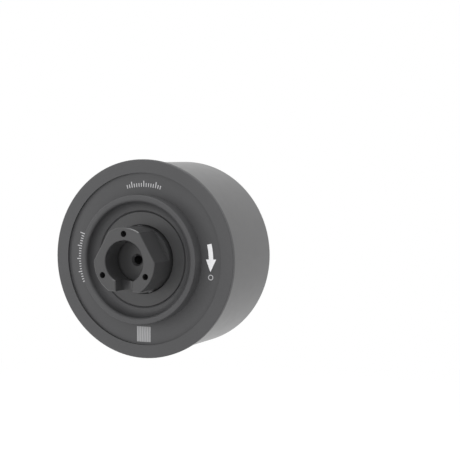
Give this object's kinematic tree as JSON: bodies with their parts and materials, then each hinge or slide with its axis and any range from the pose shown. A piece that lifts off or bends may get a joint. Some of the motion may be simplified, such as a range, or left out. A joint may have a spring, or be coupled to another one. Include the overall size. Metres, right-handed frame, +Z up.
{
  "type": "robot joint actuator",
  "caption": "Direct-drive robot joint actuator: a drum case that turns round a fixed hollow shaft with a three-lobed bolt-on end and a cable notch.",
  "frame": {"origin": "centre of the shaft's end face, where a bracket bolts on", "axes": "+Y along the axis of rotation from the shaft's end face to the output face, +Z up, opposite the cable notch, +X to the right when looking along +Y"},
  "size_m": [0.08, 0.0604, 0.08],
  "materials": {
    "dark_anodised": "dark grey anodised, fine satin",
    "case_anodised": "grey anodised, satin turned",
    "shaft_anodised": "charcoal anodised, turned and milled",
    "seal_plate_finish": "charcoal anodised",
    "carrier_aluminium": "machined",
    "bearing_steel": "ground",
    "ball_steel": "polished",
    "cage_polymer": "moulded",
    "screw_steel": "black oxide",
    "spring_steel": "spring steel",
    "lamination_steel": "stacked sheet",
    "iron_ring": "plated",
    "magnet_nickel": "nickel plated",
    "insulator_nylon": "moulded",
    "copper_winding": "enamelled copper wire",
    "pin_brass": "tinned",
    "board_laminate": "solder mask",
    "chip_black": "moulded epoxy",
    "capacitor_can": "drawn can",
    "header_plastic": "moulded",
    "seal_rubber": "matt",
    "encoder_ferrite": "bonded magnet"
  },
  "bodies": {
    "stator": {"shaft": "shaft_anodised", "stator_carrier": "carrier_aluminium", "carrier_screws": "screw_steel", "carrier_dowel": "bearing_steel", "stator_core": "lamination_steel", "slot_insulator_front": "insulator_nylon", "slot_insulator_rear": "insulator_nylon", "coils_phase_u": "copper_winding", "coils_phase_v": "copper_winding", "coils_phase_w": "copper_winding", "phase_pins": "pin_brass", "driver_board": "board_laminate", "board_screws": "screw_steel", "power_transistors": "chip_black", "bulk_capacitors": "capacitor_can", "controller_chip": "chip_black", "encoder_sensor": "chip_black", "wire_header": "header_plastic", "front_bearing_inner_ring": "bearing_steel", "front_circlip": "spring_steel", "rear_bearing_inner_ring": "bearing_steel"},
    "rotor": {"front_cover": "dark_anodised", "cover_o_ring": "seal_rubber", "seal_plate": "seal_plate_finish", "shaft_seal": "seal_rubber", "front_bearing_outer_ring": "bearing_steel", "rotor_can": "case_anodised", "back_iron": "iron_ring", "magnets_north": "magnet_nickel", "magnets_south": "magnet_nickel", "encoder_magnet": "encoder_ferrite", "rear_bearing_outer_ring": "bearing_steel", "wave_spring": "spring_steel"},
    "front_ball_set": {"front_bearing_balls": "ball_steel", "front_bearing_cage": "cage_polymer"},
    "rear_ball_set": {"rear_bearing_balls": "ball_steel", "rear_bearing_cage": "cage_polymer"}
  },
  "joints": [
    {"name": "output", "type": "hinge", "parent": "stator", "child": "rotor", "pos_m": [0, 0.0204, 0], "axis": [0, 1, 0], "continuous": true},
    {"name": "front_balls", "type": "hinge", "parent": "stator", "child": "front_ball_set", "pos_m": [0, 0.0201, 0], "axis": [0, 1, 0], "continuous": true},
    {"name": "rear_balls", "type": "hinge", "parent": "stator", "child": "rear_ball_set", "pos_m": [0, 0.0495, 0], "axis": [0, 1, 0], "continuous": true}
  ],
  "couplings": [
    {"joint": "front_balls", "follows": "output", "ratio": 0.55645},
    {"joint": "rear_balls", "follows": "output", "ratio": 0.5697}
  ]
}
